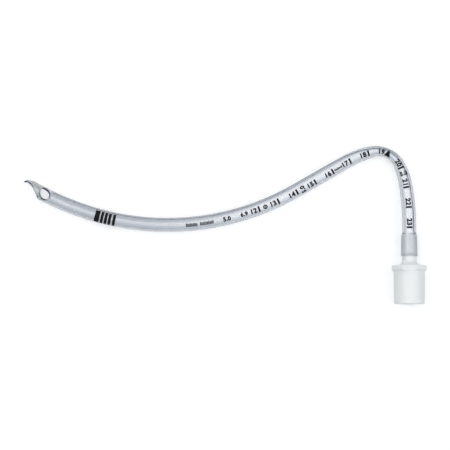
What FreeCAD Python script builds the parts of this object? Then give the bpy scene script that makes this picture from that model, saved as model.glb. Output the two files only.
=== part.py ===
import FreeCAD, Part

import math
import os
import re

import Sketcher

# Nasal endotracheal tube with its 15 mm connector, in millimetres and degrees.
# The tube's course lies in one plane. Before it is laid down, that plane is XY, the connector's
# axis is Y, and the origin is the centre of the connector's mouth.

SIZES = {
    # Connector barrel: a male cone, tapered one in barrel_taper on its diameter
    "barrel_top_diameter": 15.4,
    "barrel_taper": 40.0,
    "barrel_length": 15.9,
    "mouth_round": 0.3,
    "socket_diameter": 12.8,
    "socket_depth": 14.6,
    "socket_lead": 0.4,
    "funnel_length": 4.8,
    # Flange, with one flat in front and one behind
    "flange_diameter": 17.1,
    "flange_thickness": 2.9,
    "flange_step": 0.15,
    "flange_chamfer": 0.8,
    "flange_round": 0.3,
    "flat_stand_off": 0.05,
    # Shoulder, neck and shank
    "shoulder_diameter": 12.2,
    "shoulder_height": 1.9,
    "shoulder_hollow": 3.0,
    "shank_root_diameter": 7.3,
    "shank_tip_diameter": 6.4,
    "shank_length": 13.6,
    "shank_chamfer_height": 1.0,
    "shank_chamfer_depth": 0.42,
    # Tube section
    "outer_diameter": 6.9,
    "bore_diameter": 5.0,
    # Machine end, stretched over the shank
    "neck_showing": 2.8,
    "end_diameter": 8.2,
    "grip_diameter": 7.8,
    "narrowing_length": 1.9,
    "plain_length": 3.8,
    # Course: four arcs to the left, a straight run, two long arcs to the right
    "lead_radius": 112.0,
    "lead_turn": 10.4,
    "entry_radius": 35.0,
    "entry_turn": 16.2,
    "bend_radius": 11.6,
    "bend_turn": 77.1,
    "exit_radius": 51.5,
    "exit_turn": 16.25,
    "recovery_length": 9.0,
    "straight_length": 18.05,
    "sweep_radius": 127.0,
    "sweep_turn": 47.3,
    "tip_run_radius": 149.0,
    "tip_run_turn": 11.95,
    # The tight bend draws the section flat in the plane of the bend
    "bend_flattening": 1.08,
    "flattening_spread": 9.5,
    # Nose, bevel and beak, measured back from the tip and from the tube's axis there
    "nose_length": 5.35,
    "nose_tip_radius": 2.5,
    "beak_length": 1.8,
    "beak_height": 1.35,
    "beak_hook_radius": 1.25,
    "beak_lip_height": 0.7,
    "beak_crown_radius": 7.2,
    "bevel_angle": 36.8,
    "heel_radius": 1.2,
    "heel_angle": 15.0,
    "heel_depth": 3.1,
    # Side eyes, one through each wall
    "eye_distance": 12.05,
    "eye_height": 0.6,
    "eye_length": 5.9,
    "eye_width": 4.4,
    "eye_slant": 30.5,
    # How far cutting profiles reach past what they cut
    "cut_margin": 1.0,
}

# The course's edges: the first five are the bend with its easings, and the last ends at the nose
BEND_EDGES = 5
LAST_EDGE = 8

# Times that the lowest ring of the bend is looked for again after tipping
SETTLING_STEPS = 3

# Turns a circle so that it starts where the ellipses do, and the loft has no twist
SEAM_ON_TOP = FreeCAD.Placement(FreeCAD.Vector(0, 0, 0), FreeCAD.Rotation(FreeCAD.Vector(0, 0, 1), 90))

# Points and axes of a sketch, by the numbers that its constraints know them by
START, END, CENTRE = range(1, 4)
ORIGIN = (-1, START)
X_AXIS = -1
Y_AXIS = -2


def add_sheet(doc):
    """Put every size in its own named cell."""
    sheet = doc.addObject("Spreadsheet::Sheet", "Sizes")
    for row, (name, value) in enumerate(SIZES.items(), start=1):
        sheet.set(f"A{row}", name)
        sheet.set(f"B{row}", str(value))
        sheet.setAlias(f"B{row}", name)
    doc.recompute()
    return sheet


def with_sheet(formula):
    """Write the sheet's name before every size that a formula uses."""

    def cell(match):
        word = match.group()
        return f"Sizes.{word}" if word in SIZES else word

    return re.sub(r"[a-z_]+", cell, formula)


def new_sketch(body, name, plane="XY_Plane"):
    """Open a sketch on one of the body's own planes."""
    sketch = body.newObject("Sketcher::SketchObject", name)
    planes = {feature.Role: feature for feature in body.Origin.OriginFeatures}
    sketch.AttachmentSupport = [(planes[plane], "")]
    sketch.MapMode = "FlatFace"
    return sketch


def sketch_on_course(body, name, course, edge, fraction, mode):
    """Open a sketch at a place along the course, across it or along its tangent."""
    sketch = body.newObject("Sketcher::SketchObject", name)
    sketch.AttachmentSupport = [(course, f"Edge{edge}")]
    sketch.MapMode = mode
    sketch.MapPathParameter = fraction
    return sketch


def value_of(sketch, formula):
    """Work out a formula of sizes as a plain number."""
    result = sketch.evalExpression(with_sheet(formula))
    return float(getattr(result, "Value", result))


def bind(sketch, kind, where, formula, unit="mm"):
    """Add a dimension to a sketch and tie it to a formula of sizes."""
    value = value_of(sketch, formula)
    if unit == "deg":
        value = math.radians(value)
    index = sketch.addConstraint(Sketcher.Constraint(kind, *where, value))
    label = f"size_{index}"
    sketch.renameConstraint(index, label)
    sketch.setExpression(f"Constraints.{label}", f"({with_sheet(formula)}) * 1 {unit}")


def tie(sketch, kind, *where):
    """Add a constraint without a number."""
    sketch.addConstraint(Sketcher.Constraint(kind, *where))


def place_point(sketch, geometry, point, across, along):
    """Hold a point at two formulas of sizes, measured from the sketch's origin."""
    if across == "0":
        tie(sketch, "PointOnObject", geometry, point, Y_AXIS)
    else:
        bind(sketch, "DistanceX", (*ORIGIN, geometry, point), across)
    if along == "0":
        tie(sketch, "PointOnObject", geometry, point, X_AXIS)
    else:
        bind(sketch, "DistanceY", (*ORIGIN, geometry, point), along)


def arc_through(start, end, radius, turns_left):
    """Draw the shorter arc of a given radius between two points."""
    chord = end - start
    middle = (start + end) * 0.5
    left = FreeCAD.Vector(-chord.y, chord.x, 0).normalize()
    side = 1 if turns_left else -1
    to_centre = math.sqrt(radius ** 2 - (chord.Length / 2) ** 2)
    centre = middle + left * side * to_centre
    top = centre - left * side * radius
    return Part.Arc(start, top, end)


def draw_outline(sketch, corners):
    """Draw a closed outline, each corner as two formulas and how the next side runs.

    A side is None for a line, or a radius formula after "left" or "right" for an arc.
    """
    points = []
    for across, along, _ in corners:
        points.append(FreeCAD.Vector(value_of(sketch, across), value_of(sketch, along), 0))
    ends = []
    for index, (_, _, side) in enumerate(corners):
        start = points[index]
        end = points[(index + 1) % len(points)]
        if side is None:
            sketch.addGeometry(Part.LineSegment(start, end), False)
            ends.append((START, END))
            continue
        turn, radius = side
        arc = arc_through(start, end, value_of(sketch, radius), turn == "left")
        sketch.addGeometry(arc, False)
        ends.append((START, END) if turn == "left" else (END, START))
    for index, (across, along, side) in enumerate(corners):
        following = (index + 1) % len(corners)
        begins, finishes = ends[index]
        tie(sketch, "Coincident", index, finishes, following, ends[following][0])
        place_point(sketch, index, begins, across, along)
        if side is not None:
            bind(sketch, "Radius", (index,), side[1])


def revolve(body, name, sketch, axis):
    """Turn an outline once round one of its sketch's axes."""
    feature = body.newObject("PartDesign::Revolution", name)
    feature.Profile = sketch
    feature.ReferenceAxis = (sketch, [axis])
    feature.Angle = 360
    return feature


def cut_through(doc, body, name, sketch):
    """Cut an outline through the body both ways, and make sure that it removed something."""
    before = body.Shape.Volume
    pocket = body.newObject("PartDesign::Pocket", name)
    pocket.Profile = sketch
    pocket.Type = "ThroughAll"
    pocket.SideType = "Symmetric"
    doc.recompute()
    if not body.Shape.Volume < before:
        raise RuntimeError(f"{name} removed nothing")


def check_growth(doc, body, feature, before):
    """Recompute, and make sure that a feature added to the body's volume before it."""
    doc.recompute()
    if not body.Shape.Volume > before:
        raise RuntimeError(f"{feature.Label} added nothing")


# Heights along the connector's axis, from its mouth
FLANGE_TOP = "(barrel_length + flange_thickness)"
SHANK_ROOT = f"({FLANGE_TOP} + shoulder_height)"
SHANK_TIP = f"({SHANK_ROOT} + shank_length)"
GRIP_TOP = f"({SHANK_TIP} - shank_chamfer_height)"
TUBE_END = f"({SHANK_ROOT} + neck_showing)"
NARROWING_TOP = f"({GRIP_TOP} + narrowing_length)"
COURSE_START = f"({NARROWING_TOP} + plain_length)"

# Radii about the connector's axis
MOUTH_RADIUS = "(barrel_top_diameter / 2 - barrel_length / barrel_taper / 2)"
BARREL_RADIUS = "(barrel_top_diameter / 2)"
SHANK_ROOT_RADIUS = "(shank_root_diameter / 2)"
SHANK_TIP_RADIUS = "(shank_tip_diameter / 2)"
SHANK_SLOPE = f"(({SHANK_ROOT_RADIUS} - {SHANK_TIP_RADIUS}) / ({GRIP_TOP} - {SHANK_ROOT}))"
SHANK_RADIUS_AT_END = f"({SHANK_ROOT_RADIUS} - {SHANK_SLOPE} * neck_showing)"
FLAT_DISTANCE = f"({BARREL_RADIUS} + flat_stand_off)"

# The tube's section
OUTER = "(outer_diameter / 2)"
BORE = "(bore_diameter / 2)"
WALL = f"({OUTER} - {BORE})"


def make_connector(doc):
    """Turn the connector's section about its axis, then cut the flange's two flats."""
    body = doc.addObject("PartDesign::Body", "connector")
    section = new_sketch(body, "connector_section")
    draw_outline(section, [
        # Outside, from the mouth up to the shank's tip
        (f"{MOUTH_RADIUS} - mouth_round", "0", ("left", "mouth_round")),
        (MOUTH_RADIUS, "mouth_round", None),
        (BARREL_RADIUS, "barrel_length", None),
        (f"{BARREL_RADIUS} + flange_step", "barrel_length", None),
        ("flange_diameter / 2", "barrel_length + flange_chamfer", None),
        ("flange_diameter / 2", f"{FLANGE_TOP} - flange_round", ("left", "flange_round")),
        ("flange_diameter / 2 - flange_round", FLANGE_TOP, None),
        ("shoulder_diameter / 2", FLANGE_TOP, ("right", "shoulder_hollow")),
        (SHANK_ROOT_RADIUS, SHANK_ROOT, None),
        (SHANK_TIP_RADIUS, GRIP_TOP, None),
        (f"{SHANK_TIP_RADIUS} - shank_chamfer_depth", SHANK_TIP, None),
        # Inside, back down to the mouth
        (BORE, SHANK_TIP, None),
        (BORE, "socket_depth + funnel_length", None),
        ("socket_diameter / 2", "socket_depth", None),
        ("socket_diameter / 2", "socket_lead", None),
        ("socket_diameter / 2 + socket_lead", "0", None),
    ])
    revolve(body, "connector_turned", section, "V_Axis")
    doc.recompute()
    flats = new_sketch(body, "flange_flats", "YZ_Plane")
    corner = 0
    for side in ("", "-"):
        near = f"{side} {FLAT_DISTANCE}"
        far = f"{side} (flange_diameter / 2 + cut_margin)"
        low = "barrel_length - cut_margin"
        high = f"{FLANGE_TOP} + cut_margin"
        corner = draw_rectangle(flats, corner, low, high, near, far)
    cut_through(doc, body, "flange_flats_cut", flats)
    return body


def draw_rectangle(sketch, first, low, high, near, far):
    """Draw an upright rectangle between four formulas, and return the next geometry's number."""
    corners = [(low, near), (high, near), (high, far), (low, far)]
    count = len(corners)
    points = []
    for across, along in corners:
        points.append(FreeCAD.Vector(value_of(sketch, across), value_of(sketch, along), 0))
    for index, point in enumerate(points):
        sketch.addGeometry(Part.LineSegment(point, points[(index + 1) % count]), False)
    for index, (across, along) in enumerate(corners):
        tie(sketch, "Coincident", first + index, END, first + (index + 1) % count, START)
        place_point(sketch, first + index, START, across, along)
    return first + count


def draw_course(body):
    """Draw the tube's centreline from the end of its straight machine end to the nose."""
    course = new_sketch(body, "course")
    runs = [
        ("left", "lead_radius", "lead_turn"),
        ("left", "entry_radius", "entry_turn"),
        ("left", "bend_radius", "bend_turn"),
        ("left", "exit_radius", "exit_turn"),
        ("straight", "recovery_length", None),
        ("straight", "straight_length", None),
        ("right", "sweep_radius", "sweep_turn"),
        ("right", "tip_run_radius", "tip_run_turn"),
    ]
    place = FreeCAD.Vector(0, value_of(course, COURSE_START), 0)
    heading = math.pi / 2
    joints = []
    for kind, reach, turn in runs:
        length = value_of(course, reach)
        if kind == "straight":
            end = place + FreeCAD.Vector(math.cos(heading), math.sin(heading), 0) * length
            course.addGeometry(Part.LineSegment(place, end), False)
            joints.append((START, END))
        else:
            side = 1 if kind == "left" else -1
            angle = math.radians(value_of(course, turn)) * side
            normal = FreeCAD.Vector(-math.sin(heading), math.cos(heading), 0) * side
            centre = place + normal * length
            spin = FreeCAD.Rotation(FreeCAD.Vector(0, 0, 1), math.degrees(angle))
            half_spin = FreeCAD.Rotation(FreeCAD.Vector(0, 0, 1), math.degrees(angle / 2))
            end = centre + spin.multVec(place - centre)
            middle = centre + half_spin.multVec(place - centre)
            course.addGeometry(Part.Arc(place, middle, end), False)
            heading += angle
            joints.append((START, END) if side > 0 else (END, START))
        place = end
    place_point(course, 0, joints[0][0], "0", COURSE_START)
    tie(course, "Horizontal", 0, CENTRE, 0, START)
    for index in range(len(runs) - 1):
        tie(course, "Tangent", index, joints[index][1], index + 1, joints[index + 1][0])
    for index, (kind, reach, turn) in enumerate(runs):
        if kind == "straight":
            bind(course, "Distance", (index,), reach)
        else:
            bind(course, "Radius", (index,), reach)
            bind(course, "Angle", (index,), turn, "deg")
    return course


def make_machine_end(body):
    """Turn the stretched end that grips the shank, its narrowing and the plain run after it."""
    section = new_sketch(body, "machine_end_section")
    outer_drop = f"(grip_diameter / 2 - {OUTER})"
    inner_drop = f"({SHANK_TIP_RADIUS} - {BORE})"
    middle = f"({GRIP_TOP} + narrowing_length / 2)"
    outer_easing = f"({outer_drop} ^ 2 + narrowing_length ^ 2) / (4 * {outer_drop})"
    inner_easing = f"({inner_drop} ^ 2 + narrowing_length ^ 2) / (4 * {inner_drop})"
    draw_outline(section, [
        (SHANK_RADIUS_AT_END, TUBE_END, None),
        ("end_diameter / 2", TUBE_END, None),
        ("grip_diameter / 2", GRIP_TOP, ("left", outer_easing)),
        (f"(grip_diameter / 2 + {OUTER}) / 2", middle, ("right", outer_easing)),
        (OUTER, NARROWING_TOP, None),
        (OUTER, COURSE_START, None),
        (BORE, COURSE_START, None),
        (BORE, NARROWING_TOP, ("left", inner_easing)),
        (f"({SHANK_TIP_RADIUS} + {BORE}) / 2", middle, ("right", inner_easing)),
        (SHANK_TIP_RADIUS, GRIP_TOP, None),
    ])
    revolve(body, "machine_end", section, "V_Axis")


def flattening_share(distance, reach, spread):
    """How much of the bend's flattening is left at a distance from its middle: 1 there, 0 at reach."""
    return (1 - (distance / reach) ** 2) / (1 + (distance / spread) ** 2)


def ring_radii(share):
    """The outer half sizes of a ring, in the plane of the bend and across it.

    What the bend takes from one, the other gains, so that the wall keeps its length round the ring.
    """
    in_plane = f"({OUTER} - bend_flattening * {share:.5f})"
    across = f"sqrt(2 * {OUTER} ^ 2 - {in_plane} ^ 2)"
    return in_plane, across


def draw_ring(sketch, share):
    """Draw the tube's section: two circles, or two ellipses where the bend flattens it."""
    middle = FreeCAD.Vector(0, 0, 0)
    upright = FreeCAD.Vector(0, 0, 1)
    in_plane, across = ring_radii(share)
    if share == 0:
        sketch.AttachmentOffset = SEAM_ON_TOP
    for inset in ("0", WALL):
        if share == 0:
            radius = value_of(sketch, f"{OUTER} - {inset}")
            index = sketch.addGeometry(Part.Circle(middle, upright, radius), False)
            tie(sketch, "Coincident", index, CENTRE, *ORIGIN)
            bind(sketch, "Radius", (index,), f"{OUTER} - {inset}")
            continue
        half_width = f"({in_plane} - {inset})"
        half_height = f"({across} - {inset})"
        add_ellipse(sketch, ("0", "0"), half_height, half_width, "90")


def add_ellipse(sketch, centre, half_major, half_minor, angle):
    """Draw an ellipse held by its centre, its two diameters and its major axis's angle."""
    place = FreeCAD.Vector(*(value_of(sketch, formula) for formula in centre), 0)
    slant = math.radians(value_of(sketch, angle))
    major = FreeCAD.Vector(math.cos(slant), math.sin(slant), 0)
    minor = FreeCAD.Vector(-math.sin(slant), math.cos(slant), 0)
    on_major = place + major * value_of(sketch, half_major)
    on_minor = place + minor * value_of(sketch, half_minor)
    ellipse = sketch.addGeometry(Part.Ellipse(on_major, on_minor, place), False)
    sketch.exposeInternalGeometry(ellipse)
    major_line = ellipse + 1
    minor_line = ellipse + 2
    if centre == ("0", "0"):
        tie(sketch, "Coincident", ellipse, CENTRE, *ORIGIN)
    else:
        place_point(sketch, ellipse, CENTRE, *centre)
    bind(sketch, "Distance", (major_line,), f"2 * {half_major}")
    bind(sketch, "Distance", (minor_line,), f"2 * {half_minor}")
    if angle == "90":
        tie(sketch, "Vertical", major_line)
    else:
        bind(sketch, "Angle", (major_line,), angle, "deg")


def make_bend(doc, body, course):
    """Loft the flattened bend through rings set along the course, about one tube radius apart.

    Return the last ring, and each ring's half size across the bend.
    """
    lengths = [edge.Length for edge in course.Shape.Edges[:BEND_EDGES]]
    before_middle = sum(lengths[:2]) + lengths[2] / 2
    after_middle = sum(lengths) - before_middle
    spread = value_of(course, "flattening_spread")
    spacing = value_of(course, OUTER)
    rings = []
    shares = []
    travelled = 0.0
    for number, length in enumerate(lengths, start=1):
        spans = max(1, round(length / spacing))
        for step in range(spans):
            place = travelled + length * step / spans - before_middle
            reach = before_middle if place < 0 else after_middle
            shares.append(flattening_share(place, reach, spread) if rings else 0)
            name = f"ring_{len(rings) + 1}"
            ring = sketch_on_course(body, name, course, number, step / spans, "NormalToEdge")
            draw_ring(ring, shares[-1])
            rings.append(ring)
        travelled += length
    last = sketch_on_course(body, "ring_last", course, BEND_EDGES, 1, "NormalToEdge")
    draw_ring(last, 0)
    rings.append(last)
    before = body.Shape.Volume
    loft = body.newObject("PartDesign::AdditiveLoft", "bend")
    loft.Profile = rings[0]
    loft.Sections = [(ring, [""]) for ring in rings[1:]]
    check_growth(doc, body, loft, before)
    drops = [value_of(course, ring_radii(share)[1]) for share in shares]
    return last, list(zip(rings, drops))


def make_sweep(doc, body, course, ring):
    """Carry the plain ring along the straight run and the two long arcs."""
    before = body.Shape.Volume
    sweep = body.newObject("PartDesign::AdditivePipe", "straight_and_sweep")
    sweep.Profile = ring
    sweep.Spine = (course, [f"Edge{edge}" for edge in range(BEND_EDGES + 1, LAST_EDGE + 1)])
    check_growth(doc, body, sweep, before)


def make_nose(doc, body, course):
    """Turn the closed nose that the bevel is cut from: a shoulder arc and a tip arc, and their insides."""
    section = sketch_on_course(body, "nose_section", course, LAST_EDGE, 1, "FrenetTN")
    length = value_of(section, "nose_length")
    tip_radius = value_of(section, "nose_tip_radius")
    outer = value_of(section, OUTER)
    wall = value_of(section, WALL)
    reach = length - tip_radius
    shoulder_radius = (reach ** 2 + outer ** 2 - tip_radius ** 2) / (2 * (outer - tip_radius))
    shoulder_centre = FreeCAD.Vector(0, outer - shoulder_radius, 0)
    tip_centre = FreeCAD.Vector(reach, 0, 0)
    outwards = (tip_centre - shoulder_centre).normalize()

    def arcs(inset):
        shoulder = shoulder_radius - inset
        tip = tip_radius - inset
        start = shoulder_centre + FreeCAD.Vector(0, shoulder, 0)
        meet = tip_centre + outwards * tip
        end = tip_centre + FreeCAD.Vector(tip, 0, 0)
        return start, meet, end, shoulder, tip

    start, meet, end, shoulder, tip = arcs(0)
    section.addGeometry(arc_through(start, meet, shoulder, False), False)
    section.addGeometry(arc_through(meet, end, tip, False), False)
    inner_start, inner_meet, inner_end, inner_shoulder, inner_tip = arcs(wall)
    section.addGeometry(Part.LineSegment(end, inner_end), False)
    section.addGeometry(arc_through(inner_end, inner_meet, inner_tip, True), False)
    section.addGeometry(arc_through(inner_meet, inner_start, inner_shoulder, True), False)
    section.addGeometry(Part.LineSegment(inner_start, start), False)
    # The outside
    place_point(section, 0, END, "0", OUTER)
    tie(section, "PointOnObject", 0, CENTRE, Y_AXIS)
    tie(section, "Tangent", 0, START, 1, END)
    tie(section, "PointOnObject", 1, CENTRE, X_AXIS)
    bind(section, "Radius", (1,), "nose_tip_radius")
    place_point(section, 1, START, "nose_length", "0")
    # The inside, one wall within it
    tie(section, "Coincident", 1, START, 2, START)
    tie(section, "Coincident", 2, END, 3, START)
    tie(section, "PointOnObject", 3, START, X_AXIS)
    tie(section, "Coincident", 3, CENTRE, 1, CENTRE)
    bind(section, "Distance", (2,), WALL)
    tie(section, "Tangent", 3, END, 4, START)
    tie(section, "Coincident", 4, CENTRE, 0, CENTRE)
    tie(section, "PointOnObject", 4, END, Y_AXIS)
    tie(section, "Coincident", 4, END, 5, START)
    tie(section, "Coincident", 5, END, 0, END)
    before = body.Shape.Volume
    nose = revolve(body, "nose", section, "H_Axis")
    check_growth(doc, body, nose, before)


def cut_bevel(doc, body, course):
    """Cut the open end: the bevel, its rounded heel, and the hollow under the soft beak."""
    outline = sketch_on_course(body, "bevel_outline", course, LAST_EDGE, 1, "FrenetTN")

    def number(formula):
        return value_of(outline, formula)

    def point(across, along):
        return FreeCAD.Vector(across, along, 0)

    slope = math.radians(number("bevel_angle"))
    shallow = math.radians(number("heel_angle"))
    top = point(number("nose_length - beak_length"), number("beak_height"))
    hook = number("beak_hook_radius")
    crown = number("beak_crown_radius")
    heel = number("heel_radius")
    front = number("nose_length + cut_margin")
    floor = number(f"- {OUTER} - cut_margin")
    lip = number("beak_lip_height")
    hook_rise = lip - (top.y - hook)
    hook_start = point(top.x + math.sqrt(hook ** 2 - hook_rise ** 2), lip)
    crown_end = top + point(-math.sin(slope), math.cos(slope) - 1) * crown
    heel_start = point(0, number("- heel_depth"))
    heel_start.x = crown_end.x - (crown_end.y - heel_start.y) / math.tan(slope)
    heel_centre = heel_start + point(-math.sin(slope), math.cos(slope)) * heel
    heel_end = heel_centre + point(math.sin(shallow), -math.cos(shallow)) * heel
    exit_point = point(heel_end.x - (heel_end.y - floor) / math.tan(shallow), floor)
    outline.addGeometry(Part.LineSegment(point(front, lip), hook_start), False)
    outline.addGeometry(arc_through(hook_start, top, hook, True), False)
    outline.addGeometry(arc_through(top, crown_end, crown, True), False)
    outline.addGeometry(Part.LineSegment(crown_end, heel_start), False)
    outline.addGeometry(arc_through(heel_start, heel_end, heel, False), False)
    outline.addGeometry(Part.LineSegment(heel_end, exit_point), False)
    outline.addGeometry(Part.LineSegment(exit_point, point(front, floor)), False)
    outline.addGeometry(Part.LineSegment(point(front, floor), point(front, lip)), False)
    # The lip and the hollow behind it
    place_point(outline, 0, START, "nose_length + cut_margin", "beak_lip_height")
    tie(outline, "Horizontal", 0)
    tie(outline, "Coincident", 0, END, 1, START)
    bind(outline, "Radius", (1,), "beak_hook_radius")
    place_point(outline, 1, END, "nose_length - beak_length", "beak_height")
    tie(outline, "Tangent", 1, END, 2, START)
    tie(outline, "Vertical", 2, CENTRE, 2, START)
    bind(outline, "Radius", (2,), "beak_crown_radius")
    # The bevel and its heel
    tie(outline, "Tangent", 2, END, 3, START)
    bind(outline, "Angle", (3,), "bevel_angle - 180", "deg")
    bind(outline, "DistanceY", (*ORIGIN, 3, END), "- heel_depth")
    tie(outline, "Tangent", 3, END, 4, END)
    bind(outline, "Radius", (4,), "heel_radius")
    tie(outline, "Tangent", 4, START, 5, START)
    bind(outline, "Angle", (5,), "heel_angle - 180", "deg")
    tie(outline, "Coincident", 5, END, 6, START)
    # Back to the start, clear of the tube
    tie(outline, "Horizontal", 6)
    tie(outline, "Coincident", 6, END, 7, START)
    tie(outline, "Vertical", 7)
    tie(outline, "Coincident", 7, END, 0, START)
    bind(outline, "DistanceY", (*ORIGIN, 7, START), f"- {OUTER} - cut_margin")
    cut_through(doc, body, "bevel", outline)


def cut_eyes(doc, body, course):
    """Cut the slanted oval eye through both side walls."""
    outline = sketch_on_course(body, "eye_outline", course, LAST_EDGE, 1, "FrenetTN")
    centre = ("nose_length - eye_distance", "eye_height")
    add_ellipse(outline, centre, "(eye_length / 2)", "(eye_width / 2)", "eye_slant")
    cut_through(doc, body, "side_eyes", outline)


def make_tube(doc):
    """Build the tube from its machine end to its tip."""
    body = doc.addObject("PartDesign::Body", "tube")
    make_machine_end(body)
    course = draw_course(body)
    doc.recompute()
    last_ring, bend_rings = make_bend(doc, body, course)
    make_sweep(doc, body, course, last_ring)
    make_nose(doc, body, course)
    cut_bevel(doc, body, course)
    cut_eyes(doc, body, course)
    return body, course, bend_rings


def lay_down(course, bend_rings, bodies):
    """Tip the object about its mouth onto the three places that touch the surface it lies on.

    They are the flange's flat, the lowest ring of the bend, and the tube's side behind the bevel.
    """
    flat = value_of(course, FLAT_DISTANCE)
    flat_half_width = math.sqrt(value_of(course, "flange_diameter / 2") ** 2 - flat ** 2)
    on_flange = FreeCAD.Vector(-flat_half_width, value_of(course, FLANGE_TOP), -flat)
    on_tip = course.Shape.Vertexes[-1].Point - FreeCAD.Vector(0, 0, value_of(course, OUTER))
    undersides = [ring.Placement.Base - FreeCAD.Vector(0, 0, drop) for ring, drop in bend_rings]
    straight_up = FreeCAD.Vector(0, 0, 1)
    up = straight_up
    for _ in range(SETTLING_STEPS):
        on_bend = min(undersides, key=up.dot)
        up = (on_bend - on_flange).cross(on_tip - on_flange).normalize()
    tilt = FreeCAD.Rotation(up, straight_up)
    for body in bodies:
        body.Placement = FreeCAD.Placement(FreeCAD.Vector(0, 0, 0), tilt)


def check(doc, bodies):
    """Stop on any failed object or any shape that is empty or not valid."""
    for item in doc.Objects:
        if "Invalid" in item.State or "Error" in item.State:
            raise RuntimeError(f"{item.Label}: {item.getStatusString()}")
    for body in bodies:
        if body.Shape.isNull() or not body.Shape.isValid():
            raise RuntimeError(f"{body.Label} has no valid shape")
        if len(body.Shape.Solids) != 1:
            raise RuntimeError(f"{body.Label} is not one solid")


def main():
    doc = FreeCAD.newDocument("endotracheal_tube")
    add_sheet(doc)
    connector = make_connector(doc)
    tube, course, bend_rings = make_tube(doc)
    bodies = [connector, tube]
    lay_down(course, bend_rings, bodies)
    doc.recompute()
    check(doc, bodies)
    os.makedirs("parts", exist_ok=True)
    for body in bodies:
        body.Shape.exportStep(f"parts/{body.Label}.step")


main()
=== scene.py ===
import math

import bmesh
import bpy
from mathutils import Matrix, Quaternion, Vector
from mathutils.bvhtree import BVHTree
from mathutils.interpolate import poly_3d_calc


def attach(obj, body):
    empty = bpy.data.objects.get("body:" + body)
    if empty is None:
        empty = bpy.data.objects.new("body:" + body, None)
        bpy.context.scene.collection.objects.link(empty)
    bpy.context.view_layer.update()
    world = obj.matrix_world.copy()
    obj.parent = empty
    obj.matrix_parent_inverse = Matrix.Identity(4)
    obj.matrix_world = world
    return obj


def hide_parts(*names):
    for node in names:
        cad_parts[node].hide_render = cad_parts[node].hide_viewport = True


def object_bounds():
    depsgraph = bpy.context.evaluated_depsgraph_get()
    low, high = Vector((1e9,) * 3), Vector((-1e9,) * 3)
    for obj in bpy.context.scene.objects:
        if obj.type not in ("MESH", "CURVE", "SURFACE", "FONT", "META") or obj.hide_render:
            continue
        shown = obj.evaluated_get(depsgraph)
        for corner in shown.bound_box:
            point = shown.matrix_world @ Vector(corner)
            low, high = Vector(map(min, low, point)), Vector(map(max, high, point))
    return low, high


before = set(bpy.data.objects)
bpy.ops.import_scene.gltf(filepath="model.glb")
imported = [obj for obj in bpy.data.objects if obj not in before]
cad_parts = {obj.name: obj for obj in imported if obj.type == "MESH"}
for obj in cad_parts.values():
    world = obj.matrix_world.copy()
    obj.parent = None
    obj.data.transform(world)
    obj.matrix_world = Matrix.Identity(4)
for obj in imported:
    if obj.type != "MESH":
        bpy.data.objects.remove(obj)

CAD_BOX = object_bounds()
MM = 0.001
UP = Vector((0, 0, 1))

# The course of the tube before it is laid down, in millimetres and degrees, as the CAD has it
UP_IN_COURSE = Vector((0.010848, -0.061163, 0.998069))
LAID_DOWN = UP_IN_COURSE.rotation_difference(UP)
TUBE_END = 23.5
COURSE_START = 39.0
RUNS = [
    ("left", 112.0, 10.4),
    ("left", 35.0, 16.2),
    ("left", 11.6, 77.1),
    ("left", 51.5, 16.25),
    ("straight", 9.0, 0),
    ("straight", 18.05, 0),
    ("right", 127.0, 47.3),
    ("right", 149.0, 11.95),
]


def arc_length(run):
    kind, size, turn = run
    return size if kind == "straight" else size * math.radians(turn)


LENGTHS = [arc_length(run) for run in RUNS]

# The plain section, and the machine end: stretched over the shank, then narrowing
OUTER, BORE = 3.45, 2.5
WALL = OUTER - BORE
GRIP_LENGTH, NARROWING = 9.8, 1.9
END_OUTER, GRIP_OUTER = 4.1, 3.9
END_BORE, GRIP_BORE = 3.52, 3.17

# Distances from the machine end, and the bend's flattening of the section
STRAIGHT_END = COURSE_START - TUBE_END
BEND_MIDDLE = STRAIGHT_END + sum(LENGTHS[:2]) + LENGTHS[2] / 2
BEND_END = STRAIGHT_END + sum(LENGTHS[:5])
NOSE_START = STRAIGHT_END + sum(LENGTHS)
FLATTENING, FLATTENING_SPREAD = 1.08, 9.5

# The nose and its bevel, ahead of the nose's start and out from its axis
NOSE_LENGTH, NOSE_TIP = 5.35, 2.5
BEAK_TOP = Vector((NOSE_LENGTH - 1.8, 1.35))
HOOK, CROWN, HEEL = 1.25, 7.2, 1.2
LIP_HEIGHT, HEEL_DEPTH = 0.7, 3.1
BEVEL_SLOPE, HEEL_SLOPE = math.radians(36.8), math.radians(15.0)
CUT_MARGIN = 1.0

# The eyes. Between the two heights from the axis, the cut moves inwards by the pinch.
EYE_CENTRE = Vector((NOSE_LENGTH - 12.05, 0.6))
EYE_SLANT = math.radians(30.5)
EYE_HALF_LENGTH, EYE_HALF_BREADTH = 2.95, 2.2
EYE_PINCH = 0.75
PINCH_OUTSIDE, PINCH_INSIDE = 2.4, 1.3

# How finely the wall's mesh is divided
SPOKES = 64
NOSE_STEPS = 10
HOOK_STEPS, CROWN_STEPS, HEEL_STEPS = 14, 24, 8
EYE_STEPS = 72

# A face is the wall's own where the cosine between it and the uncut wall is more than this. The
# others that lie past this x are the nose's cut faces.
SAME_WAY = 0.8
NOSE_SIDE = -100.0


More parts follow.
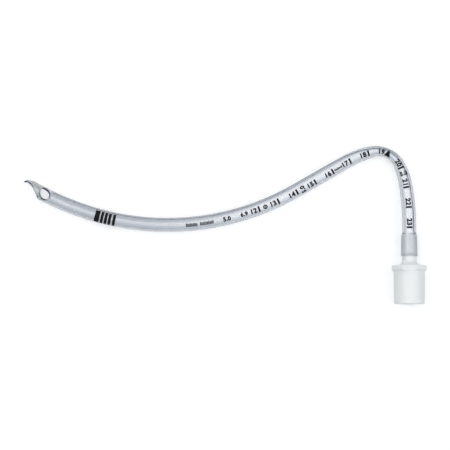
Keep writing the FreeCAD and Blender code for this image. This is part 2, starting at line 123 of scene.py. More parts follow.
def course(distance):
    """The centreline's place and heading at a distance from the machine end."""
    place = Vector((0, COURSE_START, 0))
    heading = math.pi / 2
    left = distance - STRAIGHT_END
    if left <= 0:
        return place + Vector((0, left, 0)), heading
    for run, length in zip(RUNS, LENGTHS):
        kind, size, _ = run
        step = min(left, length)
        if kind == "straight":
            place = place + Vector((math.cos(heading), math.sin(heading), 0)) * step
        else:
            side = 1 if kind == "left" else -1
            normal = Vector((-math.sin(heading), math.cos(heading), 0)) * side
            centre = place + normal * size
            heading += side * step / size
            normal = Vector((-math.sin(heading), math.cos(heading), 0)) * side
            place = centre - normal * size
        left -= step
        if left <= 0:
            break
    return place, heading


def stand_at(distance):
    """The centreline's place, the way ahead, and the way to the outer side of the bend."""
    place, heading = course(distance)
    ahead = Vector((math.cos(heading), math.sin(heading), 0))
    outwards = Vector((math.sin(heading), -math.cos(heading), 0))
    return place, ahead, outwards


def flattening(distance):
    """How much flatter the bend draws the section in its own plane, at a distance."""
    reach = BEND_MIDDLE - STRAIGHT_END if distance < BEND_MIDDLE else BEND_END - BEND_MIDDLE
    place = distance - BEND_MIDDLE
    if abs(place) >= reach:
        return 0
    return FLATTENING * (1 - (place / reach) ** 2) / (1 + (place / FLATTENING_SPREAD) ** 2)


def machine_end_radius(distance, first, last, plain):
    """The radius of the stretched end: a taper over the shank, then an easing down to the plain tube."""
    if distance <= GRIP_LENGTH:
        return first + (last - first) * distance / GRIP_LENGTH
    step = distance - GRIP_LENGTH
    if step >= NARROWING:
        return plain
    drop = last - plain
    easing = (drop ** 2 + NARROWING ** 2) / (4 * drop)
    if step < NARROWING / 2:
        return last - easing + math.sqrt(easing ** 2 - step ** 2)
    return plain + easing - math.sqrt(easing ** 2 - (NARROWING - step) ** 2)


def half_sizes(distance, inside):
    """The section's half sizes in the plane of the bend and across it."""
    if distance < STRAIGHT_END:
        ends = (END_BORE, GRIP_BORE, BORE) if inside else (END_OUTER, GRIP_OUTER, OUTER)
        radius = machine_end_radius(distance, *ends)
        return radius, radius
    in_plane = OUTER - flattening(distance)
    across = math.sqrt(2 * OUTER ** 2 - in_plane ** 2)
    inset = WALL if inside else 0
    return in_plane - inset, across - inset


def turns(count):
    """Angles that go once round in equal steps."""
    return [2 * math.pi * index / count for index in range(count)]


def ring(distance, inside):
    """One ring of the tube's wall, starting on top and turning to the outer side of the bend."""
    place, _, outwards = stand_at(distance)
    in_plane, across = half_sizes(distance, inside)
    return [
        place + outwards * in_plane * math.sin(angle) + UP * across * math.cos(angle)
        for angle in turns(SPOKES)
    ]


def nose_rings(inside):
    """The rings of the rounded nose, and its pole: a shoulder arc, then the tip's arc down to the axis."""
    place, ahead, outwards = stand_at(NOSE_START)
    inset = WALL if inside else 0
    reach = NOSE_LENGTH - NOSE_TIP
    shoulder = (reach ** 2 + OUTER ** 2 - NOSE_TIP ** 2) / (2 * (OUTER - NOSE_TIP))
    drop = shoulder - OUTER
    turn = math.atan2(reach, drop)
    profile = []
    for index in range(1, NOSE_STEPS + 1):
        angle = turn * index / NOSE_STEPS
        size = shoulder - inset
        profile.append((size * math.sin(angle), size * math.cos(angle) - drop))
    for index in range(1, NOSE_STEPS):
        angle = turn + (math.pi / 2 - turn) * index / NOSE_STEPS
        size = NOSE_TIP - inset
        profile.append((reach + size * math.sin(angle), size * math.cos(angle)))
    rings = []
    for along, radius in profile:
        centre = place + ahead * along
        rings.append([
            centre + (outwards * math.sin(angle) + UP * math.cos(angle)) * radius
            for angle in turns(SPOKES)
        ])
    return rings, place + ahead * (NOSE_LENGTH - inset)


def stations():
    """Where along the course the rings stand: close together where the shape changes fast.

    Each stretch has its start, its end and the step between its rings.
    """
    narrow_end = GRIP_LENGTH + NARROWING
    bend_start = STRAIGHT_END + LENGTHS[0]
    stretches = [
        (0, GRIP_LENGTH, 2.5), (GRIP_LENGTH, narrow_end, 0.2), (narrow_end, bend_start, 1.5),
        (bend_start, BEND_END, 0.8), (BEND_END, NOSE_START, 2.0),
    ]
    places = []
    for first, last, step in stretches:
        count = max(1, round((last - first) / step))
        places += [first + (last - first) * index / count for index in range(count)]
    return places + [NOSE_START]


def close_band(bm, row, following):
    """Fill between two closed rows of as many points."""
    for index in range(len(row)):
        after = (index + 1) % len(row)
        bm.faces.new([row[index], row[after], following[after], following[index]])


def whole_tube():
    """The tube's wall with its nose still closed, in millimetres before it is laid down."""
    bm = bmesh.new()
    edges = []
    for inside in (False, True):
        nose, pole = nose_rings(inside)
        rings = [ring(distance, inside) for distance in stations()] + nose
        rows = [[bm.verts.new(point) for point in points] for points in rings]
        tip = bm.verts.new(pole)
        for row, following in zip(rows, rows[1:]):
            close_band(bm, *((row, following) if inside else (following, row)))
        for index in range(SPOKES):
            corners = [rows[-1][index], rows[-1][(index + 1) % SPOKES], tip]
            bm.faces.new(corners if inside else corners[::-1])
        edges.append(rows[0])
    close_band(bm, *edges)
    bmesh.ops.recalc_face_normals(bm, faces=bm.faces[:])
    return bm


def arc_points(centre, radius, first, last, count):
    return [
        centre + Vector((math.cos(angle), math.sin(angle))) * radius
        for angle in (first + (last - first) * index / count for index in range(count + 1))
    ]


def bevel_outline():
    """What the bevel takes off the nose: the hook's arc, the crown's, the slope and the heel's."""
    quarter = math.pi / 2
    across = Vector((-math.sin(BEVEL_SLOPE), math.cos(BEVEL_SLOPE)))
    front, floor = NOSE_LENGTH + CUT_MARGIN, -OUTER - CUT_MARGIN
    hook_centre = BEAK_TOP - Vector((0, HOOK))
    hook_first = math.asin((LIP_HEIGHT - hook_centre.y) / HOOK)
    crown_centre = BEAK_TOP - Vector((0, CROWN))
    crown_end = crown_centre + across * CROWN
    slope_length = (crown_end.y + HEEL_DEPTH) / math.tan(BEVEL_SLOPE)
    heel_centre = Vector((crown_end.x - slope_length, -HEEL_DEPTH)) + across * HEEL
    heel_end = heel_centre + Vector((math.sin(HEEL_SLOPE), -math.cos(HEEL_SLOPE))) * HEEL
    points = [Vector((front, LIP_HEIGHT))]
    points += arc_points(hook_centre, HOOK, hook_first, quarter, HOOK_STEPS)
    points += arc_points(crown_centre, CROWN, quarter, quarter + BEVEL_SLOPE, CROWN_STEPS)[1:]
    points += arc_points(heel_centre, HEEL, BEVEL_SLOPE - quarter, HEEL_SLOPE - quarter, HEEL_STEPS)
    points += [Vector((heel_end.x - (heel_end.y - floor) / math.tan(HEEL_SLOPE), floor))]
    points += [Vector((front, floor))]
    return points


def eye_outline():
    """The slanted oval that goes through both side walls."""
    along = Vector((math.cos(EYE_SLANT), math.sin(EYE_SLANT)))
    across = Vector((-math.sin(EYE_SLANT), math.cos(EYE_SLANT)))
    points = []
    for angle in turns(EYE_STEPS):
        lengthwise = along * EYE_HALF_LENGTH * math.cos(angle)
        crosswise = across * EYE_HALF_BREADTH * math.sin(angle)
        points.append(EYE_CENTRE + (lengthwise + crosswise))
    return points


def bevel_levels():
    """The bevel's outline at the two ends of its upright cut."""
    return [(height, bevel_outline()) for height in (-2 * OUTER, 2 * OUTER)]


def eye_levels():
    """The eye's outline at each height: the cut slants inwards through the wall, most on its upper side."""
    outline = eye_outline()
    shift = Vector((math.sin(EYE_SLANT), -math.cos(EYE_SLANT))) * EYE_PINCH
    pinched = [point + shift for point in outline]
    return [
        (-2 * OUTER, outline), (-PINCH_OUTSIDE, outline), (-PINCH_INSIDE, pinched),
        (PINCH_INSIDE, pinched), (PINCH_OUTSIDE, outline), (2 * OUTER, outline),
    ]


def cutter(levels):
    """A closed shape through the nose, from its outline in the nose's own frame at each height."""
    place, ahead, outwards = stand_at(NOSE_START)
    bm = bmesh.new()
    rows = []
    for height, outline in levels:
        row = [place + ahead * p.x + outwards * p.y + UP * height for p in outline]
        rows.append([bm.verts.new(point) for point in row])
    for row, following in zip(rows, rows[1:]):
        close_band(bm, row, following)
    bm.faces.new(rows[0][::-1])
    bm.faces.new(rows[-1])
    bmesh.ops.recalc_face_normals(bm, faces=bm.faces[:])
    return bm


def mesh_object(bm, name):
    """Turn a bmesh into an object of its own."""
    mesh = bpy.data.meshes.new(name)
    bm.to_mesh(mesh)
    bm.free()
    obj = bpy.data.objects.new(name, mesh)
    bpy.context.collection.objects.link(obj)
    return obj


def smooth_normals(mesh, whole):
    """Give the wall's corners the uncut wall's own normal and the cut faces flat ones.

    Returns the nose's cut faces.
    """
    tree = BVHTree.FromPolygons(
        [v.co for v in whole.vertices], [p.vertices for p in whole.polygons]
    )

    def normal_at(point):
        hit, _, face, _ = tree.find_nearest(point)
        corners = whole.polygons[face].vertices
        shares = poly_3d_calc([whole.vertices[i].co for i in corners], hit)
        normal = Vector((0, 0, 0))
        for share, corner in zip(shares, corners):
            normal += whole.vertices[corner].normal * share
        return normal.normalized()

    at_vertex = [normal_at(v.co) for v in mesh.vertices]
    normals = []
    cut_faces = []
    for polygon in mesh.polygons:
        on_wall = normal_at(polygon.center).dot(polygon.normal) > SAME_WAY
        if not on_wall and polygon.center.x < NOSE_SIDE:
            cut_faces.append(polygon.index)
        for vertex in polygon.vertices:
            normals.append(at_vertex[vertex] if on_wall else polygon.normal)
    mesh.normals_split_custom_set(normals)
    return cut_faces


def make_tube():
    """The open tube: the wall less its bevel and its two eyes."""
    body = mesh_object(whole_tube(), "tube_body")
    whole = body.data.copy()
    tools = [mesh_object(cutter(levels), "cut") for levels in (bevel_levels(), eye_levels())]
    for tool in tools:
        cut = body.modifiers.new("cut", "BOOLEAN")
        cut.operation = "DIFFERENCE"
        cut.solver = "EXACT"
        cut.object = tool
    bpy.context.view_layer.update()
    evaluated = body.evaluated_get(bpy.context.evaluated_depsgraph_get())
    open_mesh = bpy.data.meshes.new_from_object(evaluated)
    body.modifiers.clear()
    body.data = open_mesh
    for tool in tools:
        bpy.data.objects.remove(tool)
    for polygon in open_mesh.polygons:
        polygon.use_smooth = True
    cut_faces = smooth_normals(open_mesh, whole)
    place = LAID_DOWN.to_matrix().to_4x4() * MM
    place[3][3] = 1
    open_mesh.transform(place)
    return body, cut_faces


def on_surface(distance, across, stand_off):
    """A place on the tube's outside in the finished part, in metres.

    It is given along the course, and round the surface from the top towards the outer side of the bend.
    """
    place, _, outwards = stand_at(distance)
    in_plane, upright = half_sizes(distance, False)
    angle = across / in_plane
    sideways = outwards * (in_plane + stand_off) * math.sin(angle)
    upwards = UP * (upright + stand_off) * math.cos(angle)
    return (LAID_DOWN @ (place + (sideways + upwards))) * MM


TUBE, CUT_FACES = make_tube()
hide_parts("tube")
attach(TUBE, "root")
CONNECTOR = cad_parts["connector"]


# Materials. Every colour is linear.

# Clear PVC, from face on to edge on. The greying towards edge on is painted shade on the tube's sides.
CLEAR_STOPS = [
    (0.0, (0.88, 0.895, 0.915, 1)),
    (0.12, (0.86, 0.88, 0.91, 1)),
    (0.29, (0.69, 0.725, 0.77, 1)),
    (0.48, (0.54, 0.58, 0.635, 1)),
    (1.0, (0.36, 0.39, 0.44, 1)),
]
PVC_IOR = 1.53
PVC_SHADOW = (0.86, 0.87, 0.89, 1)
PVC_DEPTH, PVC_DENSITY = (0.8, 0.86, 0.93, 1), 60.0

# The grey cast grows along x, in metres, towards the tip. The frosting starts at the nose.
GREY_CAST = (0.58, 0.61, 0.64, 1)
GREY_CAST_RAMP = (-0.07, -0.13, 0.0, 0.46)
FROST = (0.64, 0.675, 0.68, 1)
FROST_RAMP = (-0.176, -0.182, 0.0, 1.0)
FROST_SHARE = 0.6
FROST_ROUGHNESS = 0.13

# The painted shade along the rims of the cuts, in the nose's own frame. A ramp holds a low, a high, and its
# values there.
# The beak's go by the distance ahead of the nose's start, and by that from its edge as a share of the
# reach. An eye's go by the distance from its centre, in shares of its half sizes.
BEAK_REACH_RAMP = (-2.5, 3.5, 0.3, 0.85)
BEAK_EDGE_RAMP = (0.5, 1.0, 1.0, 0.0)
BEAK_STRENGTH_RAMP = (-2.5, 2.5, 0.25, 1.0)
EYE_EDGE_RAMP = (1.08, 1.22, 1.0, 0.0)
EYE_UPPER_RAMP = (0.1, 0.45, 0.0, 1.0)
EYE_LOWER_RAMP = (-0.25, -0.7, 0.0, 0.7)
# Painted shade: near black along the cut rims
RIM_PAINTED_SHADE = (0.03, 0.04, 0.075, 1)
# Painted shade: the cut faces' dark grey-blue, and below it the near black of the eyes' cut faces
CUT_PAINTED_SHADES = (0.13, 0.15, 0.2, 1), (0.19, 0.215, 0.27, 1)
CUT_SHADOW = (0.8, 0.82, 0.85, 1)
EYE_CUT_PAINTED_SHADE = (0.008, 0.011, 0.024, 1)

MOTTLE_STOPS = (0.3, 0.7)
LINE_TINTS = (0.13, 0.155, 0.21, 1), (0.18, 0.21, 0.275, 1)
MILKY_TINTS = (0.95, 0.97, 0.97, 1), (0.965, 0.985, 0.985, 1)
MILKY_SHADOW = (0.6, 0.62, 0.62, 1)
INK_TINT = (0.006, 0.006, 0.008, 1)


def new_material(name):
    material = bpy.data.materials.new(name)
    material.use_nodes = True
    nodes = material.node_tree.nodes
    nodes.clear()
    output = nodes.new("ShaderNodeOutputMaterial")
    shader = nodes.new("ShaderNodeBsdfPrincipled")
    link(material, shader.outputs["BSDF"], output.inputs["Surface"])
    return material, shader, output


def node(material, kind, **values):
    """A new node, with values for its sockets or its own settings."""
    made = material.node_tree.nodes.new(kind)
    for key, value in values.items():
        if key in made.inputs:
            made.inputs[key].default_value = value
        else:
            setattr(made, key, value)
    return made


def link(material, source, target):
    material.node_tree.links.new(source, target)


def set_inputs(shader, values):
    """Set a shader's own sockets, by name."""
    for name, value in values.items():
        shader.inputs[name].default_value = value


def ramp(material, value, stops):
    """The colour that a ramp of stops gives for a value."""
    made = node(material, "ShaderNodeValToRGB")
    elements = made.color_ramp.elements
    while len(elements) < len(stops):
        elements.new(1)
    for element, (place, colour) in zip(elements, stops):
        element.position = place
        element.color = colour
    link(material, value, made.inputs["Fac"])
    return made.outputs["Color"]


def object_axes(material):
    coords = node(material, "ShaderNodeTexCoord")
    axes = node(material, "ShaderNodeSeparateXYZ")
    link(material, coords.outputs["Object"], axes.inputs["Vector"])
    return axes


def noise(material, scale, stretch=None):
    coords = node(material, "ShaderNodeTexCoord")
    texture = node(material, "ShaderNodeTexNoise", Scale=scale, Detail=2.0)
    place = coords.outputs["Object"]
    if stretch:
        mapping = node(material, "ShaderNodeMapping", Scale=stretch)
        link(material, place, mapping.inputs["Vector"])
        place = mapping.outputs["Vector"]
    link(material, place, texture.inputs["Vector"])
    return texture.outputs["Fac"]


def mottled(material, scale, tints, stretch=None):
    """A colour that wanders softly between two tints."""
    return ramp(material, noise(material, scale, stretch), list(zip(MOTTLE_STOPS, tints)))


def grainy(material, scale, limits):
    """A value that wanders finely between two limits."""
    return spread(material, noise(material, scale), 0.0, 1.0, *limits)


def mixed(material, share, first, second):
    """A colour that goes from first to second, each a socket or plain, as share goes from 0 to 1."""
    made = node(material, "ShaderNodeMix", data_type="RGBA")
    link(material, share, made.inputs[0])
    for place, colour in zip(made.inputs[6:8], (first, second)):
        if isinstance(colour, tuple):
            place.default_value = colour
        else:
            link(material, colour, place)
    return made.outputs[2]


def maths(material, operation, *values):
    """A Math node's result, from sockets or plain numbers."""
    made = node(material, "ShaderNodeMath", operation=operation)
    for place, value in zip(made.inputs, values):
        if isinstance(value, (int, float)):
            place.default_value = value
        else:
            link(material, value, place)
    return made.outputs[0]


def spread(material, value, low, high, start, end):
    """A socket that goes from start to end as value goes from low to high."""
    limits = {"From Min": low, "From Max": high, "To Min": start, "To Max": end}
    made = node(material, "ShaderNodeMapRange", **limits)
    link(material, value, made.inputs["Value"])
    return made.outputs["Result"]


def away(material, x, y, centre):
    """A socket for how far a point is from a centre."""
    along = maths(material, "SUBTRACT", x, centre.x)
    up = maths(material, "SUBTRACT", y, centre.y)
    squares = maths(material, "MULTIPLY_ADD", up, up, maths(material, "MULTIPLY", along, along))
    return maths(material, "SQRT", squares)


def let_lamps_through(material, shader, output, tint):
    """Let the lamps' rays through, as a thin clear wall does, so that what is inside and behind is lit."""
    path = node(material, "ShaderNodeLightPath")
    clear = node(material, "ShaderNodeBsdfTransparent", Color=tint)
    both = node(material, "ShaderNodeMixShader")
    link(material, path.outputs["Is Shadow Ray"], both.inputs[0])
    link(material, shader.outputs["BSDF"], both.inputs[1])
    link(material, clear.outputs["BSDF"], both.inputs[2])
    link(material, both.outputs["Shader"], output.inputs["Surface"])


def in_nose_frame(material):
    """Sockets for how far ahead of the nose's start a point is, and how far out, in millimetres."""
    place, heading = course(NOSE_START)
    turn = Quaternion((0, 0, 1), -heading)
    coords = node(material, "ShaderNodeTexCoord")
    in_nose = node(
        material, "ShaderNodeMapping", Scale=(1 / MM,) * 3,
        Rotation=(turn @ LAID_DOWN.inverted()).to_euler("XYZ"), Location=-(turn @ place),
    )
    axes = node(material, "ShaderNodeSeparateXYZ")
    link(material, coords.outputs["Object"], in_nose.inputs["Vector"])
    link(material, in_nose.outputs["Vector"], axes.inputs["Vector"])
    return axes.outputs["X"], maths(material, "MULTIPLY", axes.outputs["Y"], -1.0)


def beak_rim(material, x, y):
    """How much painted shade the beak's rim gets, from 0 to 1, by how near a point is to it: to the crown's
    arc, or past it the hook's.
    """
    from_crown = maths(material, "SUBTRACT", away(material, x, y, BEAK_TOP - Vector((0, CROWN))), CROWN)
    from_hook = maths(material, "SUBTRACT", away(material, x, y, BEAK_TOP - Vector((0, HOOK))), HOOK)
    on_hook = maths(material, "GREATER_THAN", x, BEAK_TOP.x)
    more = maths(material, "SUBTRACT", from_hook, from_crown)
    from_rim = maths(material, "MULTIPLY_ADD", on_hook, more, from_crown)
    reach = spread(material, x, *BEAK_REACH_RAMP)
    near = spread(material, maths(material, "DIVIDE", from_rim, reach), *BEAK_EDGE_RAMP)
    return maths(material, "MULTIPLY", near, spread(material, x, *BEAK_STRENGTH_RAMP))


def eye_rim(material, x, y):
    """How much painted shade an eye's rim gets, from 0 to 1, by how near a point is to it, on its upper and
    its lower side.
    """
    along = Vector((math.cos(EYE_SLANT), math.sin(EYE_SLANT)))
    x = maths(material, "SUBTRACT", x, EYE_CENTRE.x)
    y = maths(material, "SUBTRACT", y, EYE_CENTRE.y)
    u = maths(material, "MULTIPLY_ADD", y, along.y, maths(material, "MULTIPLY", x, along.x))
    v = maths(material, "MULTIPLY_ADD", x, -along.y, maths(material, "MULTIPLY", y, along.x))
    u = maths(material, "DIVIDE", u, EYE_HALF_LENGTH)
    v = maths(material, "DIVIDE", v, EYE_HALF_BREADTH)
    near = spread(material, away(material, u, v, Vector((0, 0))), *EYE_EDGE_RAMP)
    upper = spread(material, v, *EYE_UPPER_RAMP)
    lower = spread(material, v, *EYE_LOWER_RAMP)
    return maths(material, "MULTIPLY", near, maths(material, "MAXIMUM", upper, lower))


def tube_material():
    """Clear soft PVC: it lets most light through face on. Its colour greys towards its rims, seen edge on:
    painted shade on the tube's sides.

    The moulded nose is a little frosted and greyer than the extruded run. Its cut rims are painted
    dark: painted shade for the light that the cuts turn away.
    """
    material, shader, output = new_material("clear_pvc")
    facing = node(material, "ShaderNodeLayerWeight", Blend=0.5).outputs["Facing"]
    x_axis = object_axes(material).outputs["X"]
    nose = spread(material, x_axis, *FROST_RAMP)
    # Painted shade: the colour greys as the wall turns edge on
    tint = ramp(material, facing, CLEAR_STOPS)
    tint = mixed(material, spread(material, x_axis, *GREY_CAST_RAMP), tint, GREY_CAST)
    tint = mixed(material, maths(material, "MULTIPLY", nose, FROST_SHARE), tint, FROST)
    x, y = in_nose_frame(material)
    # Painted shade along the cut rims of the beak and the eyes
    rims = maths(material, "MAXIMUM", beak_rim(material, x, y), eye_rim(material, x, y))
    link(material, mixed(material, rims, tint, RIM_PAINTED_SHADE), shader.inputs["Base Color"])
    fine = grainy(material, scale=900, limits=(0.1, 0.13))
    rough = maths(material, "MULTIPLY_ADD", nose, FROST_ROUGHNESS, fine)
    link(material, rough, shader.inputs["Roughness"])
    set_inputs(shader, {"Transmission Weight": 0.92, "IOR": PVC_IOR})
    absorb = node(material, "ShaderNodeVolumeAbsorption", Color=PVC_DEPTH, Density=PVC_DENSITY)
    link(material, absorb.outputs["Volume"], output.inputs["Volume"])
    let_lamps_through(material, shader, output, PVC_SHADOW)
    return material


def cut_material():
    """The cut faces of the bevel and the eyes, painted dark, near black by the eyes' rims: painted shade
    for the light that the cuts turn away.
    """
    material, shader, output = new_material("cut_pvc_painted_shade")
    near_eye = eye_rim(material, *in_nose_frame(material))
    # Painted shade: the cut faces are dark grey-blue, near black by the eyes' rims
    plain = mottled(material, scale=700, tints=CUT_PAINTED_SHADES)
    link(material, mixed(material, near_eye, plain, EYE_CUT_PAINTED_SHADE), shader.inputs["Base Color"])
    set_inputs(shader, {"Roughness": 0.3, "IOR": PVC_IOR})
    let_lamps_through(material, shader, output, CUT_SHADOW)
    return material


def line_material():
    """The dark radiopaque line in the tube's wall."""
    material, shader, _ = new_material("dark_line")
    tint = mottled(material, scale=400, tints=LINE_TINTS, stretch=(1.0, 1.0, 3.0))
    link(material, tint, shader.inputs["Base Color"])
    set_inputs(shader, {"Roughness": 0.6, "Specular IOR Level": 0.1})
    return material


def connector_material():
    """Milky polypropylene: light soaks in and comes back out, so its shaded sides stay pale."""
    material, shader, output = new_material("milky_polypropylene")
    link(material, mottled(material, scale=60, tints=MILKY_TINTS), shader.inputs["Base Color"])
    link(material, grainy(material, scale=500, limits=(0.3, 0.4)), shader.inputs["Roughness"])
    set_inputs(shader, {"IOR": 1.49, "Transmission Weight": 0.35})
    let_lamps_through(material, shader, output, MILKY_SHADOW)
    return material


def ink_material():
    """Matt black ink."""
    material, shader, _ = new_material("black_ink")
    link(material, grainy(material, scale=1500, limits=(0.5, 0.7)), shader.inputs["Roughness"])
    set_inputs(shader, {"Base Color": INK_TINT, "Specular IOR Level": 0.15})
    return material


def dress(obj, *materials):
    obj.data.materials.clear()
    for material in materials:
        obj.data.materials.append(material)


dress(TUBE, tube_material(), cut_material())
for index in CUT_FACES:
    TUBE.data.polygons[index].material_index = 1
dress(CONNECTOR, connector_material())
INK = ink_material()


# Print, in millimetres. Distances are from the machine end.

MARKS = {
    12: 123.65, 13: 113.5, 14: 103.4, 15: 93.2, 16: 83.2, 17: 73.3, 18: 63.4,
    19: 53.3, 20: 43.5, 21: 33.6, 22: 23.8, 23: 13.9,
}
DIGIT_HEIGHT = 2.55
DIGITS_PAST_TICK, DIGITS_PAST_TRIANGLE = 2.65, 3.3
TICK_LENGTH, TICK_BREADTH = 3.0, 0.92
TRIANGLE_MARK, TRIANGLE_SIZE, TRIANGLE_SHIFT = 19, 3.6, -0.15
DEPTH_BAR_LENGTH = 6.6
DEPTH_BARS = [(203.95, 2.45), (201.5, 1.4), (199.6, 1.4), (197.7, 1.4), (195.55, 1.4)]

# The printed sizes: name, characters, height, turn, distance, and place round the tube where it is its own
PRINTED_SIZES = [
    ("bore_size", "5.0", 2.2, 0, 140.0, None),
    ("outside_size", "6.9", 2.2, 0, 131.3, None),
    ("bore_size_across_1", "5.0", 2.3, 90, 40.5, 0.22),
    ("bore_size_across_2", "5.0", 2.3, 90, 100.2, -1.4),
]
RING_MARK_PLACE, RING_MARK_RADIUS, RING_MARK_LINE, RING_MARK_DOT = 120.4, 1.15, 0.58, 0.4
ROUND_STEPS = 24

# The fields of small print: distance, length and height, and the blocks that they are made of
SMALL_PRINT = [(157.4, 5.7, 1.8), (150.0, 6.8, 1.8), (80.1, 4.3, 1.1)]
BLOCK_PITCH, BLOCK_BREADTH = 0.66, 0.5

# How far the print, and the dark line, wander round the tube towards the outer side
PRINT_WANDER = [
    (14, 0.1), (34, -0.05), (44, -0.12), (47, -0.25), (57, -0.48), (63, -0.5), (75, -0.85),
    (93, -1.35), (104, -1.1), (115, -0.8), (131, -0.65), (145, -0.65), (160, -0.8), (200, -0.95),
]
LINE_WANDER = [
    (12, 2.3), (28, 2.2), (40, 1.85), (47, 1.2), (51, 0.9), (57, 1.15), (62, 1.6), (67, 2.25),
    (75, 3.0), (90, 3.8), (115, 3.95), (150, 4.45), (229, 4.6),
]
LINE_HALF_WIDTH = [(60, 0.25), (90, 0.38), (229, 0.38)]
LINE_START, LINE_STEP, LINE_ROWS = 11.5, 0.835, 261
LINE_DEPTH = 0.22

# The ink lies this far off the wall, in strips this broad
INK_STAND_OFF = 0.02
STRIP = 0.45

# How the font is drawn. With more steps, this offset breaks the digits 6 and 9.
GLYPH_STEPS, GLYPH_OFFSET, GLYPH_SPACING = 4, 0.045, 1.12
STROKE_GAIN = 0.05

# Points nearer than this are one, and an edge shorter than the second is none
SAME_POINT, NO_EDGE = 1e-6, 1e-5


def make_piece(name, bm, material):
    piece = mesh_object(bm, name)
    piece.data.materials.append(material)
    for polygon in piece.data.polygons:
        polygon.use_smooth = True
    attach(piece, "root")


def slice_up(bm, step):
    """Cut a flat mesh into strips both ways so that it can follow a curve."""
    for axis in (0, 1):
        values = [vert.co[axis] for vert in bm.verts]
        place = math.floor(min(values) / step) * step
        while place < max(values):
            where = Vector((0, 0, 0))
            where[axis] = place
            normal = Vector((0, 0, 0))
            normal[axis] = 1
            parts = bm.verts[:] + bm.edges[:] + bm.faces[:]
            bmesh.ops.bisect_plane(bm, geom=parts, plane_co=where, plane_no=normal, dist=SAME_POINT)
            place += step


def wrap(bm, distance, shift):
    """Lay a flat mesh, in millimetres, on the tube: x towards the connector, y towards the outer side."""
    slice_up(bm, STRIP)
    bmesh.ops.dissolve_degenerate(bm, dist=NO_EDGE, edges=bm.edges[:])
    for vert in bm.verts:
        vert.co = on_surface(distance - vert.co.x, vert.co.y + shift, INK_STAND_OFF)
    bmesh.ops.recalc_face_normals(bm, faces=bm.faces[:])


def embolden(bm, amount):
    """Move the rim of a flat mesh outwards in its own plane."""
    moves = {}
    for edge in bm.edges:
        if not edge.is_boundary:
            continue
        loop = edge.link_loops[0]
        along = loop.link_loop_next.vert.co - loop.vert.co
        outwards = Vector((along.y, -along.x, 0)).normalized()
        for vert in edge.verts:
            moves[vert] = moves.get(vert, Vector((0, 0, 0))) + outwards
    for vert, move in moves.items():
        vert.co += move.normalized() * amount


def remove_folds(bm):
    """Join a glyph's doubled points, and delete the small faces that lie folded over others."""
    bmesh.ops.remove_doubles(bm, verts=bm.verts[:], dist=SAME_POINT)
    folds = [edge for edge in bm.edges if len(edge.link_faces) > 2]
    strays = {min(edge.link_faces, key=lambda face: face.calc_area()) for edge in folds}
    bmesh.ops.delete(bm, geom=list(strays), context="FACES")


def glyphs(text):
    """Flat characters from Blender's own font, as a bmesh."""
    curve = bpy.data.curves.new("lettering", "FONT")
    curve.body = text
    curve.align_x = "CENTER"
    curve.align_y = "CENTER"
    curve.resolution_u = GLYPH_STEPS
    curve.offset = GLYPH_OFFSET
    curve.space_character = GLYPH_SPACING
    curve.size = 1.0
    carrier = bpy.data.objects.new("lettering", curve)
    bpy.context.collection.objects.link(carrier)
    bpy.context.view_layer.update()
    mesh = bpy.data.meshes.new_from_object(carrier)
    bpy.data.objects.remove(carrier)
    bpy.data.curves.remove(curve)
    bm = bmesh.new()
    bm.from_mesh(mesh)
    bpy.data.meshes.remove(mesh)
    return bm


def lettering(text, height, spin=0):
    """Flat printed characters, centred, in millimetres, turned by spin degrees."""
    bm = glyphs(text)
    remove_folds(bm)
    low = Vector(map(min, *(v.co for v in bm.verts)))
    high = Vector(map(max, *(v.co for v in bm.verts)))
    middle = (low + high) / 2
    scale = height / (high.y - low.y)
    turn = Quaternion((0, 0, 1), math.radians(spin))
    for vert in bm.verts:
        vert.co = turn @ ((vert.co - middle) * scale)
    embolden(bm, STROKE_GAIN)
    return bm


def flat_verts(bm, corners):
    return [bm.verts.new((x, y, 0)) for x, y in corners]


def flat_face(corners):
    bm = bmesh.new()
    bm.faces.new(flat_verts(bm, corners))
    return bm


def circle(radius):
    return [(radius * math.cos(angle), radius * math.sin(angle)) for angle in turns(ROUND_STEPS)]


def bar(length, breadth):
    x, y = breadth / 2, length / 2
    return flat_face([(-x, -y), (x, -y), (x, y), (-x, y)])


def triangle(size):
    half = size / 2
    return flat_face([(-half, -half), (half, -half), (0, half)])


def disc(radius):
    return flat_face(circle(radius))


def hoop(radius, line):
    bm = bmesh.new()
    close_band(bm, *(flat_verts(bm, circle(size)) for size in (radius, radius - line)))
    return bm


def block_row(length, height):
    """A field of small print as a row of plain blocks, every third one taller, with no letters in it."""
    bm = bmesh.new()
    count = round(length / BLOCK_PITCH)
    for index in range(count):
        middle = length * ((index + 0.5) / count - 0.5)
        left, right = middle - BLOCK_BREADTH / 2, middle + BLOCK_BREADTH / 2
        foot = -height / 2
        head = height / 2 if index % 3 == 0 else height / 3
        bm.faces.new(flat_verts(bm, [(left, foot), (right, foot), (right, head), (left, head)]))
    return bm


def between(table, distance):
    """A table's value at a distance, straight from each of its places to the next."""
    for (first, start), (last, end) in zip(table, table[1:]):
        if distance <= last:
            share = max(0, (distance - first) / (last - first))
            return start + (end - start) * share
    return table[-1][1]


def print_on(name, bm, distance, shift=None):
    """Print a flat mesh on the tube, on the print's own line unless it has a shift of its own."""
    wrap(bm, distance, between(PRINT_WANDER, distance) if shift is None else shift)
    make_piece(name, bm, INK)


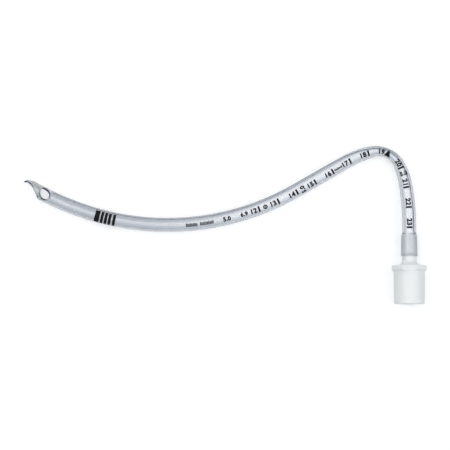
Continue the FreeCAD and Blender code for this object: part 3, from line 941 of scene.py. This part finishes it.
def draw_print():
    for number, distance in MARKS.items():
        with_triangle = number == TRIANGLE_MARK
        past = DIGITS_PAST_TRIANGLE if with_triangle else DIGITS_PAST_TICK
        print_on(f"number_{number}", lettering(str(number), DIGIT_HEIGHT), distance + past)
        if not with_triangle:
            print_on(f"tick_{number}", bar(TICK_LENGTH, TICK_BREADTH), distance)
    print_on("depth_triangle", triangle(TRIANGLE_SIZE), MARKS[TRIANGLE_MARK], TRIANGLE_SHIFT)
    for index, (distance, breadth) in enumerate(DEPTH_BARS):
        print_on(f"depth_bar_{index + 1}", bar(DEPTH_BAR_LENGTH, breadth), distance)
    for name, text, height, spin, distance, shift in PRINTED_SIZES:
        print_on(name, lettering(text, height, spin), distance, shift)
    print_on("ring_mark", hoop(RING_MARK_RADIUS, RING_MARK_LINE), RING_MARK_PLACE)
    print_on("ring_mark_dot", disc(RING_MARK_DOT), RING_MARK_PLACE)
    for index, (distance, length, height) in enumerate(SMALL_PRINT):
        print_on(f"small_print_{index + 1}", block_row(length, height), distance)


def draw_line():
    """The dark line: a ribbon inside the wall, from the grip to the bevel."""
    bm = bmesh.new()
    rows = []
    for index in range(LINE_ROWS):
        distance = LINE_START + LINE_STEP * index
        middle = between(LINE_WANDER, distance)
        half = between(LINE_HALF_WIDTH, distance)
        places = [on_surface(distance, middle + side * half, -LINE_DEPTH) for side in (-1, 0, 1)]
        rows.append([bm.verts.new(place) for place in places])
    for row, following in zip(rows, rows[1:]):
        for index in range(2):
            bm.faces.new([row[index], row[index + 1], following[index + 1], following[index]])
    bmesh.ops.recalc_face_normals(bm, faces=bm.faces[:])
    make_piece("dark_line", bm, line_material())


draw_print()
draw_line()


# Stage, lights and camera, in metres

FLOOR_SIZE = 4.0
FLOOR_CENTRE = Vector((CAD_BOX[0].x + 0.1, 0.05, CAD_BOX[0].z - 0.00005))
FLOOR_TINT = (0.8, 0.8, 0.8, 1)
FLOOR_LIFT = 0.31
BLACK, WHITE = (0, 0, 0, 1), (1, 1, 1, 1)
SKY_TINT, SKY_STRENGTH = (0.95, 0.97, 1, 1), 0.4

# Each lamp's name, place, aim, size and power
LAMPS = [
    ("overhead", (0.0, 0.03, 0.9), (0.0, 0.03, 0), (1.6, 0.7), 4.2),
    ("key", (-0.4, 0.45, 0.8), (-0.09, 0.03, 0), (0.7, 0.7), 2.4),
    ("fill", (0.55, 0.0, 0.55), (0.0, 0.03, 0), (0.7, 0.7), 1.25),
]

# The photograph is 450 pixels of 0.49 mm broad at the height of the view's centre
VIEW_CENTRE = Vector((-0.09018, 0.03861, -0.003))
VIEW_WIDTH = 0.2205
LENS, SENSOR = 250, 36


def stage():
    """A plain pale floor. Reflected, or seen through the clear wall, it is white and has no shadow."""
    bpy.ops.mesh.primitive_plane_add(size=FLOOR_SIZE, location=FLOOR_CENTRE)
    floor = bpy.context.object
    floor.name = "floor"
    material, shader, _ = new_material("floor_white")
    path = node(material, "ShaderNodeLightPath").outputs
    through = maths(material, "MAXIMUM", path["Is Glossy Ray"], path["Is Transmission Ray"])
    paint = mixed(material, through, FLOOR_TINT, BLACK)
    link(material, paint, shader.inputs["Base Color"])
    lift = maths(material, "MULTIPLY", path["Is Camera Ray"], FLOOR_LIFT)
    strength = maths(material, "MAXIMUM", lift, through)
    link(material, strength, shader.inputs["Emission Strength"])
    set_inputs(shader, {"Roughness": 0.9, "Specular IOR Level": 0, "Emission Color": WHITE})
    floor.data.materials.append(material)


def area_light(name, place, aim, size, power):
    light = bpy.data.lights.new(name, "AREA")
    light.shape = "RECTANGLE"
    light.size, light.size_y = size
    light.energy = power
    lamp = bpy.data.objects.new(name, light)
    bpy.context.collection.objects.link(lamp)
    lamp.location = place
    lamp.rotation_mode = "QUATERNION"
    lamp.rotation_quaternion = (Vector(aim) - Vector(place)).to_track_quat("-Z", "Y")


def lights():
    world = bpy.data.worlds.new("studio")
    bpy.context.scene.world = world
    world.use_nodes = True
    background = world.node_tree.nodes["Background"]
    background.inputs["Color"].default_value = SKY_TINT
    background.inputs["Strength"].default_value = SKY_STRENGTH
    for lamp in LAMPS:
        area_light(*lamp)


def camera():
    """Straight from above, from far enough away for the view's width to fill the picture."""
    data = bpy.data.cameras.new("camera")
    data.lens = LENS
    data.sensor_width = SENSOR
    data.clip_start = 0.01
    data.clip_end = 20
    eye = bpy.data.objects.new("camera", data)
    bpy.context.collection.objects.link(eye)
    eye.location = VIEW_CENTRE + UP * (VIEW_WIDTH * data.lens / data.sensor_width)
    bpy.context.scene.camera = eye


stage()
lights()
camera()
bpy.context.scene.view_settings.view_transform = "Standard"
